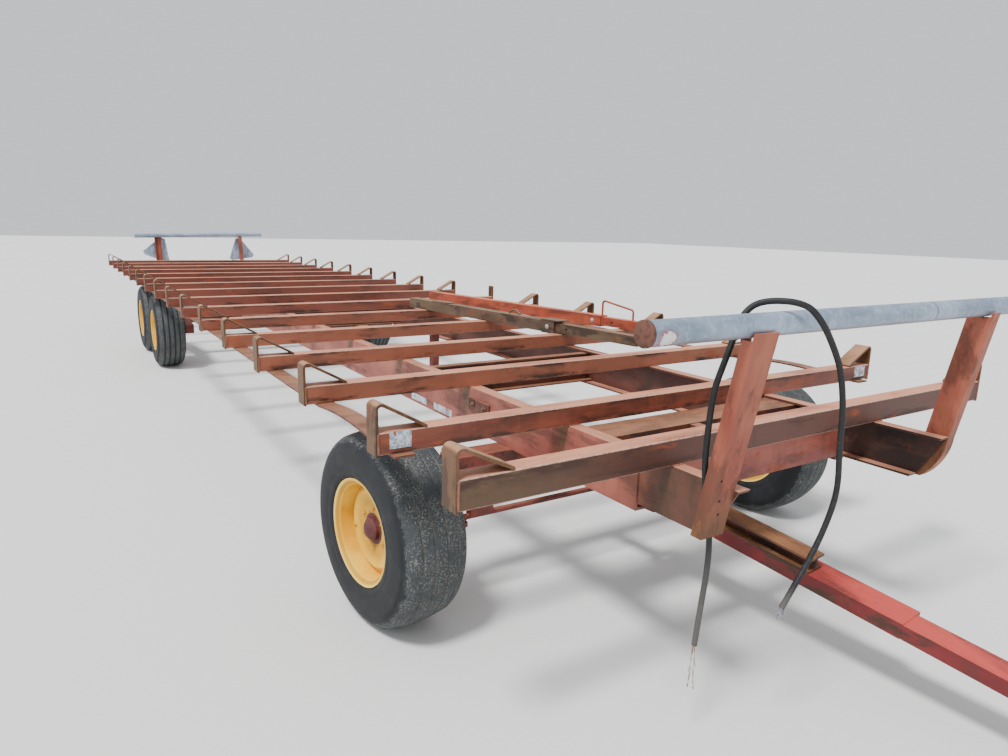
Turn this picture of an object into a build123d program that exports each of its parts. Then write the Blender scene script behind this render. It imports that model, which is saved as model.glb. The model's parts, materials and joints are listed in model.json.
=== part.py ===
# Long steel hay wagon for round bales: two channel rails carry sixteen crossbars
# with bent end stops, a pipe rack at each end, a steered front axle with a
# swinging tongue, and a tandem pair of wheels on each side at the rear.
# Frame: +X forward to the hitch, +Y left, +Z up, millimetres, origin on the
# ground under the middle of the bounding box. The wagon is parked with its
# tongue turned slightly left and its hitch resting on the ground.

from build123d import *
from math import atan2, cos, degrees, hypot, pi, radians, sin, tan
import os

os.makedirs("parts", exist_ok=True)

# Deck
deck_top = 905
bar_x = 4516
bar_height = 76
bar_width = 76
bar_half_length = 1370
front_bar_height = 90
front_bar_rise = 14
first_bay = 531
bar_pitch = 753
bar_count = 16
bars_x = [bar_x] + [bar_x - first_bay - bar_pitch * n for n in range(bar_count - 1)]

# Rails and the nose that carries the front rack
rail_outer_y = 600
rail_depth = 203
rail_flange = 60
rail_web = 8
rail_flange_thick = 10
rail_top = deck_top - bar_height
rail_front_x = bar_x - 108
cope_x = bars_x[1]
nose_depth = 178
nose_outer_y = rail_outer_y - rail_web
nose_foot_x = bar_x + 182
rail_bottom = rail_top - rail_depth
rail_rear_x = bars_x[-1] - bar_width / 2 - 8

# End racks. The right posts stand with their web across the wagon, the left ones along it.
post_width = 84
post_flange = 48
post_web = 7
post_lean = 10
post_top_gap = 16
heel_height = 170
cross_post_width = 94
cross_post_flange = 40
cross_lean = 11.2
cross_set_back = 18
cross_foot_rise = 34
rack_pipe_radius = 33
front_pipe_height = deck_top + 418
front_pipe_half = 1045
rear_pipe_height = deck_top + 398
rear_pipe_half = 980
rear_pipe_tilt = 1.4

# Steering: kingpins, tongue swing and hitch
front_axle_x = bar_x - 942
kingpin_y = 870
steer_rest = 6
steer_arm = 100
tongue_hinge_reach = 322
tongue_hinge_z = 380
tongue_length = 2940
tongue_width = 140
tongue_height = 56
slip_width = 114
slip_x = 1100
hitch_half = 36

# Wheels
track_half = 1160
rear_track_half = 1170
wheel_radius = 390
front_tyre_width = 290
rear_tyre_width = 280

# Rear tandem
tandem_x = bar_x - 7355
tandem_half = 545


def box(x_range, y_range, z_range, mode=Mode.ADD):
    # A block from its lowest to its highest corner
    size = [high - low for low, high in (x_range, y_range, z_range)]
    middle = [(high + low) / 2 for low, high in (x_range, y_range, z_range)]
    with Locations(tuple(middle)):
        Box(*size, mode=mode)


def write(node, name):
    node.part.label = name
    export_step(node.part, f"parts/{name}.step")


def channel_outline(depth, flange, web, flange_thick, side):
    # Channel section in a YZ sketch, back of the web at local y = 0, opening towards -side
    Polygon(
        (0, 0),
        (-side * flange, 0),
        (-side * flange, -flange_thick),
        (-side * web, -flange_thick),
        (-side * web, flange_thick - depth),
        (-side * flange, flange_thick - depth),
        (-side * flange, -depth),
        (0, -depth),
        align=None,
    )


sides = (("right", -1), ("left", 1))

# Main rails, with the top flange cut away where the nose slides in
cope_depth = 25
for side_name, side in sides:
    section = Plane(
        origin=(rail_rear_x - post_width, side * rail_outer_y, rail_top),
        x_dir=(0, 1, 0),
        z_dir=(1, 0, 0),
    )
    with BuildPart() as rail:
        with BuildSketch(section):
            channel_outline(rail_depth, rail_flange, rail_web, rail_flange_thick, side)
        extrude(amount=rail_front_x - rail_rear_x + post_width)
        cope_edges = sorted((side * (rail_outer_y - rail_web), side * (rail_outer_y - rail_web - rail_flange)))
        box((cope_x, rail_front_x), cope_edges, (rail_top - cope_depth, rail_top + 5), Mode.SUBTRACT)
    write(rail, f"rail_{side_name}")

# Nose channels, cut back under their top flange's front end
nose_cut = 29
nose_flange = 52
nose_flange_thick = 9
lean_run = tan(radians(post_lean))
nose_tip_x = nose_foot_x + post_width / cos(radians(post_lean)) + nose_depth * lean_run
for side_name, side in sides:
    section = Plane(
        origin=(cope_x, side * nose_outer_y, rail_top),
        x_dir=(0, 1, 0),
        z_dir=(1, 0, 0),
    )
    cut = Plane(
        origin=(nose_tip_x, 0, rail_top),
        x_dir=(0, 1, 0),
        z_dir=(-cos(radians(nose_cut)), 0, sin(radians(nose_cut))),
    )
    with BuildPart() as nose:
        with BuildSketch(section):
            channel_outline(nose_depth, nose_flange, rail_web, nose_flange_thick, side)
        extrude(amount=nose_tip_x + post_width - cope_x)
        split(bisect_by=cut, keep=Keep.TOP)
    write(nose, f"nose_{side_name}")


# Rack posts. Their outer face leans away from the deck, and depth is measured inwards from it.
def post_x(foot_x, foot_z, lean, z, depth):
    across = (post_width - depth) / cos(radians(post_lean))
    return foot_x + lean * (across + (z - foot_z) * lean_run)


def cross_post_x(foot_x, foot_z, lean, z, depth):
    across = (post_width - depth) / cos(radians(post_lean)) - cross_set_back
    return foot_x + lean * (across + (z - foot_z) * tan(radians(cross_lean)))


seat_gap = 3
cross_seat_gap = 4
heel_back = 0.6 * post_width
racks = (
    # name, lean, foot x, foot z, rail face y, pipe height, pipe half length, pipe tilt
    ("front", 1, nose_foot_x, rail_top - nose_depth, nose_outer_y, front_pipe_height, front_pipe_half, 0),
    ("rear", -1, rail_rear_x, rail_bottom, rail_outer_y, rear_pipe_height, rear_pipe_half, rear_pipe_tilt),
)
for name, lean, foot_x, foot_z, face_y, pipe_z, pipe_half, tilt in racks:
    tilt_slope = tan(radians(tilt))

    def line_x(z, depth):
        return post_x(foot_x, foot_z, lean, z, depth)

    # Left post: web flat against the rail, flanges outwards, its heel bent back under the rail
    pipe_here = pipe_z + face_y * tilt_slope
    seat_z = pipe_here - rack_pipe_radius - seat_gap
    heel_z = foot_z + heel_height
    web_plane = Plane.XZ.offset(-face_y)
    with BuildPart() as post:
        with BuildSketch(web_plane) as outline:
            with BuildLine():
                ThreePointArc(
                    (line_x(heel_z, 0), heel_z),
                    (line_x(foot_z + heel_height / 3, post_width / 6), foot_z + heel_height / 3),
                    (line_x(foot_z, heel_back), foot_z),
                )
                Polyline(
                    (line_x(foot_z, heel_back), foot_z),
                    (line_x(foot_z, post_width), foot_z),
                    (line_x(seat_z, post_width), seat_z),
                    (line_x(seat_z, 0), seat_z),
                    (line_x(heel_z, 0), heel_z),
                )
            make_face()
        extrude(amount=-post_web)
        with BuildSketch(web_plane):
            add(outline.sketch)
            offset(outline.sketch, amount=-post_web, mode=Mode.SUBTRACT)
        extrude(amount=-post_flange)
        top_z = pipe_here - post_top_gap
        with BuildSketch(web_plane):
            Polygon(
                (line_x(seat_z - post_web, 0), seat_z - post_web),
                (line_x(top_z, 0), top_z),
                (line_x(top_z, post_web), top_z),
                (line_x(seat_z - post_web, post_web), seat_z - post_web),
                align=None,
            )
        extrude(amount=-post_flange)
    write(post, f"{name}_post_left")

    # Right post: web across the wagon in front of the pipe, flanges under the pipe
    pipe_here = pipe_z - (face_y + cross_post_width / 2) * tilt_slope
    seat_z = pipe_here - rack_pipe_radius - cross_seat_gap
    top_z = pipe_here - post_top_gap
    low_z = foot_z + cross_foot_rise
    with BuildPart() as post:
        for depth, height, start, width in (
            (post_web, top_z, 0, cross_post_width),
            (cross_post_flange, seat_z, 0, post_web),
            (cross_post_flange, seat_z, cross_post_width - post_web, post_web),
        ):
            with BuildSketch(Plane.XZ.offset(face_y + start)):
                Polygon(
                    *(
                        (cross_post_x(foot_x, foot_z, lean, z, deep), z)
                        for z, deep in ((low_z, 0), (height, 0), (height, depth), (low_z, depth))
                    ),
                    align=None,
                )
            extrude(amount=width)
    write(post, f"{name}_post_right")

    # Rack pipe, seated against the inner face of the posts' outer walls
    pipe_front = cross_post_x(foot_x, foot_z, lean, pipe_z - post_top_gap, post_web)
    pipe_x = pipe_front - lean * (rack_pipe_radius / cos(radians(post_lean)) + 1)
    pipe_axis = (0, cos(radians(tilt)), sin(radians(tilt)))
    with BuildPart(Plane(origin=(pipe_x, 0, pipe_z), x_dir=(1, 0, 0), z_dir=pipe_axis)) as pipe:
        Cylinder(rack_pipe_radius, 2 * pipe_half)
    write(pipe, f"{name}_pipe")

# Crossbars
front_bar_edge = 6
bar_edge = 5
with BuildPart() as front_bar:
    box(
        (bar_x - bar_width / 2, bar_x + bar_width / 2),
        (-bar_half_length, bar_half_length),
        (deck_top + front_bar_rise - front_bar_height, deck_top + front_bar_rise),
    )
    fillet(front_bar.edges().filter_by(Axis.Y), front_bar_edge)
write(front_bar, "crossbar_front")

with BuildPart() as crossbars:
    for x in bars_x[1:]:
        box(
            (x - bar_width / 2, x + bar_width / 2),
            (-bar_half_length, bar_half_length),
            (deck_top - bar_height, deck_top),
        )
    fillet(crossbars.edges().filter_by(Axis.Y), bar_edge)
write(crossbars, "crossbars")

# Bent flat-bar stops on the bar ends
stop_thick = 10
stop_top = deck_top + 95
stop_bend_top = stop_top + 8
stop_bend = 16
stop_tip_y = 1200
broken_stop = ("left", 6)
for side_name, side in sides:
    with BuildPart() as stops:
        for number, x in enumerate(bars_x):
            front = number == 0
            bar_top = deck_top + (front_bar_rise if front else 0)
            bottom = bar_top - (front_bar_height if front else bar_height)
            outer = bar_half_length + stop_thick
            broken = (side_name, number) == broken_stop
            with BuildSketch(Plane.YZ.offset(x - bar_width / 2)):
                with BuildLine() as bend:
                    if broken:
                        Polyline(
                            (side * (bar_half_length + stop_thick / 2), bottom),
                            (side * (bar_half_length + stop_thick / 2), stop_top),
                        )
                    else:
                        FilletPolyline(
                            (side * (bar_half_length + stop_thick / 2), bottom),
                            (side * (bar_half_length + stop_thick / 2), stop_bend_top),
                            (side * stop_tip_y, bar_top + stop_thick / 2),
                            radius=stop_bend,
                        )
                    offset(amount=stop_thick / 2, side=Side.BOTH)
                make_face()
            extrude(amount=bar_width)
    write(stops, f"bale_stops_{side_name}")

# Side straps under the bars near their ends, arched over the front wheels
strap_y = 1290
strap_width = 75
strap_thick = 8
strap_arch = 20
strap_reach = 28
arch_gap = bar_width / 2 + 25
strap_rear = bars_x[-1] - bar_width / 2
strap_front = bars_x[1] + bar_width / 2 + strap_reach
arch_ends = (bars_x[2] + arch_gap, bars_x[1] - arch_gap)
for side_name, side in sides:
    with BuildPart() as strap:
        with BuildSketch(Plane.XZ.offset(-side * strap_y - strap_width / 2)):
            with BuildLine():
                low = rail_top - strap_thick
                middle = (arch_ends[0] + arch_ends[1]) / 2
                Line((strap_rear, low), (arch_ends[0], low))
                ThreePointArc((arch_ends[0], low), (middle, low + strap_arch), (arch_ends[1], low))
                Polyline((arch_ends[1], low), (strap_front, low), (strap_front, rail_top))
                Line((strap_front, rail_top), (arch_ends[1], rail_top))
                ThreePointArc(
                    (arch_ends[1], rail_top), (middle, rail_top + strap_arch), (arch_ends[0], rail_top)
                )
                Polyline((arch_ends[0], rail_top), (strap_rear, rail_top), (strap_rear, low))
            make_face()
        extrude(amount=strap_width)
    write(strap, f"side_strap_{side_name}")

# Cross members between the rails
inner_y = rail_outer_y - rail_web
nose_inner_y = nose_outer_y - rail_web
nose_flange_y = nose_outer_y - nose_flange
plate_back = bar_x - 100
plate_thick = 8
plate_lip = 40
plate_lip_half = 480
with BuildPart() as front_plate:
    web_x = (plate_back, plate_back + plate_thick)
    box(web_x, (-nose_flange_y, nose_flange_y), (rail_top - nose_depth, rail_top))
    for level in (rail_top - nose_flange_thick, rail_top - nose_depth):
        lip_x = (plate_back - plate_lip, plate_back)
        box(lip_x, (-plate_lip_half, plate_lip_half), (level, level + nose_flange_thick))
write(front_plate, "front_cross_plate")

# An inverted channel across the nose, behind the front bar
bolster_x = (bar_x - 490, bar_x - 330)
bolster_z = (690, 818)
bolster_wall = 12
wall_z = (bolster_z[0], bolster_z[1] - bolster_wall)
with BuildPart() as bolster:
    box(bolster_x, (-nose_inner_y, nose_inner_y), (wall_z[1], bolster_z[1]))
    for wall_x in (bolster_x[0], bolster_x[1] - bolster_wall):
        box((wall_x, wall_x + bolster_wall), (-nose_inner_y, nose_inner_y), wall_z)
write(bolster, "nose_crossmember")

# A short tube from it to the front plate, right of the middle
centre_beam_y = (-119, -71)
centre_beam_z = (732, 815)
with BuildPart() as centre_beam:
    box((bolster_x[1], plate_back), centre_beam_y, centre_beam_z)
write(centre_beam, "nose_centre_beam")

# Channels between the rails
member_z = (640, 815)
member_wall = 8
member_flange = 46
members_x = (front_axle_x - 900, bar_x - 4700, tandem_x + 800, tandem_x - 800, rail_rear_x + 300)
with BuildPart() as crossmembers:
    for x in members_x:
        flange_x = (x + member_wall / 2, x + member_wall / 2 + member_flange)
        box((x - member_wall / 2, x + member_wall / 2), (-inner_y, inner_y), member_z)
        for level in (member_z[1] - member_wall, member_z[0]):
            box(flange_x, (-inner_y, inner_y), (level, level + member_wall))
write(crossmembers, "crossmembers")

# A square tube hanging from the fifth bar
hanger_half = 25
hanger_bottom = 560
with BuildPart() as hanger:
    box(
        (bars_x[4] - hanger_half, bars_x[4] + hanger_half),
        (-hanger_half, hanger_half),
        (hanger_bottom, rail_top),
    )
write(hanger, "centre_hanger")

# Front axle: a beam under the rails with kingpin sleeves at its ends and a swing sleeve in the middle
beam_height = 100
beam_half = 60
beam_bottom = rail_bottom - beam_height
kingpin_radius = 23
sleeve_middle = 550
sleeve_length = 170
swing_pin_radius = 25
swing_sleeve_bottom = 430
swing_bore_top = 530
with BuildPart() as front_axle:
    box(
        (front_axle_x - beam_half, front_axle_x + beam_half),
        (-kingpin_y, kingpin_y),
        (beam_bottom, rail_bottom),
    )
    with Locations(*((front_axle_x, side * kingpin_y, sleeve_middle) for side in (-1, 1))):
        Cylinder(40, sleeve_length)
        Cylinder(kingpin_radius + 0.5, sleeve_length, mode=Mode.SUBTRACT)
    with Locations((front_axle_x, 0, (swing_sleeve_bottom + beam_bottom) / 2)):
        Cylinder(46, beam_bottom - swing_sleeve_bottom)
    with Locations((front_axle_x, 0, (swing_sleeve_bottom + swing_bore_top) / 2)):
        Cylinder(swing_pin_radius + 1, swing_bore_top - swing_sleeve_bottom, mode=Mode.SUBTRACT)
write(front_axle, "front_axle")


def turned_plane(x, y, z=0):
    # Level plane at a point, turned by the parked steering angle
    angle = radians(steer_rest)
    return Plane(origin=(x, y, z), x_dir=(cos(angle), sin(angle), 0), z_dir=(0, 0, 1))


rod_levels = {"right": 384, "left": 412}
arm_level = 354
pin_rise = 14
arm_half = 20
arm_thick = 16
rod_pin_radius = 9
spindle_radius = 24
for side_name, side in sides:
    plane = turned_plane(front_axle_x, side * kingpin_y)
    with BuildPart(plane) as knuckle:
        with Locations((0, 0, 500)):
            Cylinder(kingpin_radius, 290)
        with Locations((0, 0, 650)):
            Cylinder(34, 12)
        with Locations((0, 0, 398)):
            Cylinder(44, 104)
        with Locations(Location((0, side * 140, wheel_radius), (90, 0, 0))):
            Cylinder(32, 220)
        with Locations(Location((0, side * 300, wheel_radius), (90, 0, 0))):
            Cylinder(spindle_radius, 130)
        with Locations((steer_arm / 2, 0, arm_level)):
            Box(steer_arm, 2 * arm_half, arm_thick)
        with Locations((steer_arm, 0, arm_level)):
            Cylinder(arm_half + 2, arm_thick)
        pin_top = rod_levels[side_name] + pin_rise
        with Locations((steer_arm, 0, (arm_level + pin_top) / 2)):
            Cylinder(rod_pin_radius, pin_top - arm_level)
    write(knuckle, f"knuckle_{side_name}")

# Tongue swing: a pin up into the axle, an arm forward under the rods, and two ears for the tongue
ear_y = 66
hinge_pin_radius = 14
with BuildPart(turned_plane(front_axle_x, 0)) as swing:
    with Locations((0, 0, 385)):
        Cylinder(44, 80)
    with Locations((0, 0, 475)):
        Cylinder(swing_pin_radius, 100)
    with Locations((tongue_hinge_reach / 2 - 35, 0, 346)):
        Box(tongue_hinge_reach - 70, 70, 36)
    with Locations((tongue_hinge_reach - 60, 0, tongue_hinge_z)):
        Box(20, 160, 90)
    for ear in (-1, 1):
        with Locations((tongue_hinge_reach - 10, ear * ear_y, tongue_hinge_z)):
            Box(100, 16, 90)
    with Locations(Location((tongue_hinge_reach, 0, tongue_hinge_z), (90, 0, 0))):
        Cylinder(hinge_pin_radius, 170)
    pin_top = rod_levels["left"] + pin_rise
    with Locations((steer_arm, 0, (arm_level + pin_top) / 2)):
        Cylinder(rod_pin_radius, pin_top - arm_level)
write(swing, "tongue_swing")

# Tie rods run level from the swing's pin to each knuckle's arm
rod_radius = 13
rod_eye_radius = 20
swing_pin_x = front_axle_x + steer_arm * cos(radians(steer_rest))
swing_pin_y = steer_arm * sin(radians(steer_rest))
for side_name, side in sides:
    level = rod_levels[side_name]
    outer = side * kingpin_y + swing_pin_y
    with BuildPart() as tie_rod:
        for y in (swing_pin_y, outer):
            with Locations((swing_pin_x, y, level)):
                Cylinder(rod_eye_radius, 16)
        middle = Location((swing_pin_x, (swing_pin_y + outer) / 2, level), (90, 0, 0))
        with Locations(middle):
            Cylinder(rod_radius, kingpin_y - 30)
        with Locations((swing_pin_x, outer - side * 82, level + 18)):
            Box(38, 110, 34)
        for y in (swing_pin_y, outer):
            with Locations((swing_pin_x, y, level)):
                Cylinder(rod_pin_radius + 0.6, 40, mode=Mode.SUBTRACT)
    write(tie_rod, f"tie_rod_{side_name}")

# Tongue, from its hinge down to the hitch on the ground
slope = degrees(atan2(tongue_hinge_z - hitch_half, tongue_length))
swing_dir = (cos(radians(steer_rest)), sin(radians(steer_rest)))
hinge_x = front_axle_x + tongue_hinge_reach * swing_dir[0]
hinge_y = tongue_hinge_reach * swing_dir[1]
tongue_plane = Plane(
    origin=(hinge_x, hinge_y, tongue_hinge_z),
    x_dir=(
        swing_dir[0] * cos(radians(slope)),
        swing_dir[1] * cos(radians(slope)),
        -sin(radians(slope)),
    ),
    z_dir=(
        swing_dir[0] * sin(radians(slope)),
        swing_dir[1] * sin(radians(slope)),
        cos(radians(slope)),
    ),
)
tongue_shift = 16
tongue_lift = 10
tongue_rear = 60
slip_shift = 4
clevis_back = 190
with BuildPart(tongue_plane) as tongue_tube:
    with Locations(((tongue_rear + slip_x) / 2, tongue_shift, tongue_lift)):
        Box(slip_x - tongue_rear, tongue_width, tongue_height)
    with Locations((35, 0, 0)):
        Box(70, 96, 56)
    with Locations(Location((0, 0, 0), (90, 0, 0))):
        Cylinder(30, 96)
    with Locations(Location((0, 0, 0), (90, 0, 0))):
        Cylinder(hinge_pin_radius + 0.6, 120, mode=Mode.SUBTRACT)
write(tongue_tube, "tongue_tube")

with BuildPart(tongue_plane) as tongue_slip:
    slip_front = tongue_length - clevis_back
    with Locations(((slip_x + slip_front) / 2, slip_shift, tongue_lift)):
        Box(slip_front - slip_x, slip_width, tongue_height - 4)
write(tongue_slip, "tongue_slip")

# Clevis with a back plate and two cheeks, bored for the hitch pin
clevis_width = slip_width - 12
clevis_wall = 20
cheek_length = clevis_back - clevis_wall
cheek_thick = 16
hitch_pin_back = 45
hitch_bore = 16
with BuildPart(tongue_plane) as hitch:
    with Locations((tongue_length - clevis_back + clevis_wall / 2, 0, 0)):
        Box(clevis_wall, clevis_width, 2 * hitch_half)
    for level in (-1, 1):
        with Locations((tongue_length - cheek_length / 2, 0, level * (hitch_half - cheek_thick / 2))):
            Box(cheek_length, clevis_width, cheek_thick)
    with Locations((tongue_length - hitch_pin_back, 0, 0)):
        Cylinder(hitch_bore, 2 * hitch_half, mode=Mode.SUBTRACT)
write(hitch, "hitch_clevis")

# Beam of I section that braces the tongue's rear half, standing on its top
brace_front = 756
brace_rear = 130
brace_height = 60
brace_width = 96
brace_wall = 9
brace_shift = tongue_shift - (tongue_width - brace_width) / 2
tongue_top = tongue_lift + tongue_height / 2
with BuildPart(tongue_plane) as brace:
    for width, low, high in (
        (brace_width, 0, brace_wall),
        (brace_wall, 0, brace_height),
        (brace_width, brace_height - brace_wall, brace_height),
    ):
        with Locations(((brace_front + brace_rear) / 2, brace_shift, tongue_top + (low + high) / 2)):
            Box(brace_front - brace_rear, width, high - low)
write(brace, "tongue_channel")

# Rear tandem: a cross tube on stands and a walking beam on each side
beam_y = 950
beam_thick = 80
tube_z = 430
stand_y = 560
stand_half = (70, 40)
with BuildPart() as rear_axle:
    with Locations(Location((tandem_x, 0, tube_z), (90, 0, 0))):
        Cylinder(48, 2 * beam_y - beam_thick)
    for side in (-1, 1):
        box(
            (tandem_x - stand_half[0], tandem_x + stand_half[0]),
            (side * stand_y - stand_half[1], side * stand_y + stand_half[1]),
            (tube_z + 20, rail_bottom),
        )
write(rear_axle, "rear_axle")

beam_end = 620
beam_crown = 130
for side_name, side in sides:
    with BuildPart() as walking_beam:
        with BuildSketch(Plane.XZ.offset(-side * beam_y - beam_thick / 2)):
            with BuildLine():
                Polyline(
                    (tandem_x - beam_end, 345),
                    (tandem_x + beam_end, 345),
                    (tandem_x + beam_end, 435),
                    (tandem_x + beam_crown, 495),
                    (tandem_x - beam_crown, 495),
                    (tandem_x - beam_end, 435),
                    close=True,
                )
            make_face()
        extrude(amount=beam_thick)
        for end in (-1, 1):
            for reach, radius, length in ((75, 32, 90), (205, spindle_radius, 190)):
                spot = (tandem_x + end * tandem_half, side * (beam_y + reach), wheel_radius)
                with Locations(Location(spot, (90, 0, 0))):
                    Cylinder(radius, length)
    write(walking_beam, f"walking_beam_{side_name}")


# Wheels. Profiles lie in local (outboard, radius) and are spun about the axle line.
bead_radius = 197
lip_radius = 214
disc_out = 66
hub_bore = 25
hub_half = 46
cap_height = 24
valve_radius = 150
valve_angle = 196


def wheel(name, plane, tyre_width):
    half = tyre_width / 2
    bead = half - 28
    profile_plane = Plane(origin=plane.origin, x_dir=plane.z_dir, z_dir=plane.y_dir)
    with BuildPart() as tyre:
        with BuildSketch(profile_plane):
            with BuildLine():
                for way in (-1, 1):
                    Polyline(
                        (way * (bead - 4), bead_radius),
                        (way * (half - 19), lip_radius + 2),
                        (way * (half - 10), lip_radius + 4),
                    )
                    ThreePointArc(
                        (way * (half - 10), lip_radius + 4),
                        (way * half, 290),
                        (way * (half - 14), wheel_radius - 34),
                    )
                    Line((way * (half - 14), wheel_radius - 34), (way * (half - 44), wheel_radius - 9))
                    Line((way * (half - 44), wheel_radius - 9), (0, wheel_radius))
                Line((4 - bead, bead_radius), (bead - 4, bead_radius))
            make_face()
        revolve(axis=Axis(plane.origin, plane.z_dir))
    write(tyre, f"tyre_{name}")

    # Rim: barrel with rolled lips, and a dished disc near its outer side
    with BuildPart() as rim:
        with BuildSketch(profile_plane):
            Polygon(
                (-half + 10, lip_radius),
                (-half + 14, lip_radius - 12),
                (-bead, bead_radius - 9),
                (disc_out - 30, bead_radius - 22),
                (disc_out - 12, 160),
                (disc_out - 8, 92),
                (disc_out - 8, 62),
                (disc_out, 62),
                (disc_out, 118),
                (disc_out + 8, 154),
                (disc_out - 14, bead_radius - 9),
                (bead, bead_radius - 9),
                (half - 14, lip_radius - 12),
                (half - 10, lip_radius),
                (half - 16, lip_radius),
                (bead - 2, bead_radius - 1),
                (-bead + 2, bead_radius - 1),
                (-half + 16, lip_radius),
                align=None,
            )
        revolve(axis=Axis(plane.origin, plane.z_dir))
        turn = radians(valve_angle)
        valve = plane.origin + plane.x_dir * (valve_radius * cos(turn)) + Vector(0, 0, valve_radius * sin(turn))
        with Locations(Plane(origin=valve + plane.z_dir * disc_out, x_dir=plane.x_dir, z_dir=plane.z_dir)):
            Cylinder(10, 60, mode=Mode.SUBTRACT)
    write(rim, f"rim_{name}")

    # Hub: barrel, flange behind the disc, and a domed grease cap, part of a ball
    ball_radius = (hub_half**2 + cap_height**2) / (2 * cap_height)
    half_turn = atan2(hub_half, ball_radius - cap_height) / 2
    cap_shoulder = (disc_out + 38 - ball_radius * (1 - cos(half_turn)), ball_radius * sin(half_turn))
    with BuildPart() as hub:
        with BuildSketch(profile_plane):
            with BuildLine():
                Polyline(
                    (disc_out + 38, 0),
                    (disc_out + 28, 0),
                    (disc_out + 28, hub_bore),
                    (-10, hub_bore),
                    (-10, hub_half),
                    (disc_out - 16, hub_half),
                    (disc_out - 16, 84),
                    (disc_out - 8, 84),
                    (disc_out - 8, 61.5),
                    (disc_out + 2, 61.5),
                    (disc_out + 2, hub_half),
                    (disc_out + 14, hub_half),
                )
                ThreePointArc((disc_out + 14, hub_half), cap_shoulder, (disc_out + 38, 0))
            make_face()
        revolve(axis=Axis(plane.origin, plane.z_dir))
    write(hub, f"hub_{name}")


angle = radians(steer_rest)
for side_name, side in sides:
    out = (-side * sin(angle), side * cos(angle), 0)
    reach = track_half - kingpin_y
    spot = (front_axle_x + reach * out[0], side * kingpin_y + reach * out[1], wheel_radius)
    plane = Plane(origin=spot, x_dir=(cos(angle), sin(angle), 0), z_dir=out)
    wheel(f"front_{side_name}", plane, front_tyre_width)
    for place, end in (("middle", 1), ("rear", -1)):
        spot = (tandem_x + end * tandem_half, side * rear_track_half, wheel_radius)
        plane = Plane(origin=spot, x_dir=(1, 0, 0), z_dir=(0, side, 0))
        wheel(f"{place}_{side_name}", plane, rear_tyre_width)

# Blank warning plates behind the rear posts, cut corners up, and turned on their posts
plate_height = 1064
plate_rows = (
    # y, turn in degrees
    (-rail_outer_y - cross_post_width / 2, 22),
    (rail_outer_y + post_flange / 2, -8),
)
with BuildPart() as plates:
    for y, turn in plate_rows:
        face_x = post_x(rail_rear_x, rail_bottom, -1, plate_height, 0)
        plate_plane = Plane(
            origin=(face_x, y, plate_height),
            x_dir=(0, -1, 0),
            z_dir=(-cos(radians(post_lean)), 0, -sin(radians(post_lean))),
        )
        with BuildSketch(plate_plane):
            Polygon(
                (-203, -110), (-165, -150), (165, -150), (203, -110), (38, 200), (-38, 200),
                rotation=turn,
                align=None,
            )
        extrude(amount=3)
write(plates, "blank_plates")

# Two telescoping poles stowed along the deck
pole_outer = 74
pole_inner = 58
pole_rows = (
    # name, rear point, slip point, front point
    ("near", (-3750, 300), (-2070, 515), (-1400, 600)),
    ("far", (-4200, 700), (-2200, 1010), (-1750, 1080)),
)
for pole_name, rear, slip, front in pole_rows:
    run = hypot(front[0] - rear[0], front[1] - rear[1])
    heading = ((front[0] - rear[0]) / run, (front[1] - rear[1]) / run, 0)
    plane = Plane(
        origin=(bar_x + rear[0], rear[1], deck_top + pole_outer / 2), x_dir=heading, z_dir=(0, 0, 1)
    )
    slip_run = hypot(slip[0] - rear[0], slip[1] - rear[1])
    with BuildPart(plane) as outer:
        with Locations((slip_run / 2, 0, 0)):
            Box(slip_run, pole_outer, pole_outer)
    write(outer, f"pole_{pole_name}_outer")
    with BuildPart(plane) as inner:
        with Locations(((slip_run + run) / 2, 0, 0)):
            Box(run - slip_run, pole_inner, pole_inner)
    write(inner, f"pole_{pole_name}_inner")

# Bent rod handle on top of the far pole, over its slip joint
handle_radius = 7
with BuildPart() as handle:
    with BuildLine() as route:
        FilletPolyline(
            (bar_x - 2215, 1008, deck_top + pole_outer),
            (bar_x - 2215, 1008, deck_top + 178),
            (bar_x - 1950, 1049, deck_top + 134),
            (bar_x - 1950, 1049, deck_top + 66),
            radius=20,
        )
    with BuildSketch(Plane(origin=route.line @ 0, z_dir=(0, 0, 1))):
        Circle(handle_radius)
    sweep()
write(handle, "pole_handle")

# Wiring cable slung over the front pipe by the right post, its two ends hanging bare
cable_radius = 9
cable_crossing = (344, -547, 480)
cable_rows = (
    # name, points after the crossing: x from the front bar, y, z from the deck
    (
        "front",
        (
            (388, -509, 480), (412, -462, 430), (408, -395, 362), (402, -332, 286), (396, -296, 206),
            (392, -274, 132), (390, -268, 40), (386, -240, -100), (384, -269, -196), (382, -327, -298),
            (378, -390, -383), (372, -435, -451),
        ),
    ),
    (
        "back",
        (
            (300, -585, 480), (278, -629, 436), (282, -660, 366), (280, -687, 300), (270, -703, 232),
            (256, -696, 115), (240, -678, 4), (228, -652, -80), (220, -624, -137), (231, -617, -245),
            (236, -622, -340), (236, -638, -465), (236, -650, -581),
        ),
    ),
)
for cable_name, rows in cable_rows:
    points = [Vector(bar_x + x, y, deck_top + z) for x, y, z in (cable_crossing, *rows)]
    runs = [end - start for start, end in zip(points, points[1:])]
    radii = [
        0.45 * min(before.length, after.length) / tan(radians(before.get_angle(after)) / 2)
        for before, after in zip(runs, runs[1:])
    ]
    print(f"cable_{cable_name} radii", [round(radius) for radius in radii])
    with BuildPart() as cable:
        with BuildLine() as route:
            FilletPolyline(*points, radius=radii)
        with BuildSketch(Plane(origin=points[0], z_dir=runs[0].normalized())):
            Circle(cable_radius)
        sweep()
    path = route.wire().length
    print("volume", round(cable.part.volume), "section times length", round(pi * cable_radius**2 * path))
    print("length", round(path), "runs", round(sum(run.length for run in runs)))
    write(cable, f"cable_{cable_name}")
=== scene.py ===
import json
import math

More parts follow.
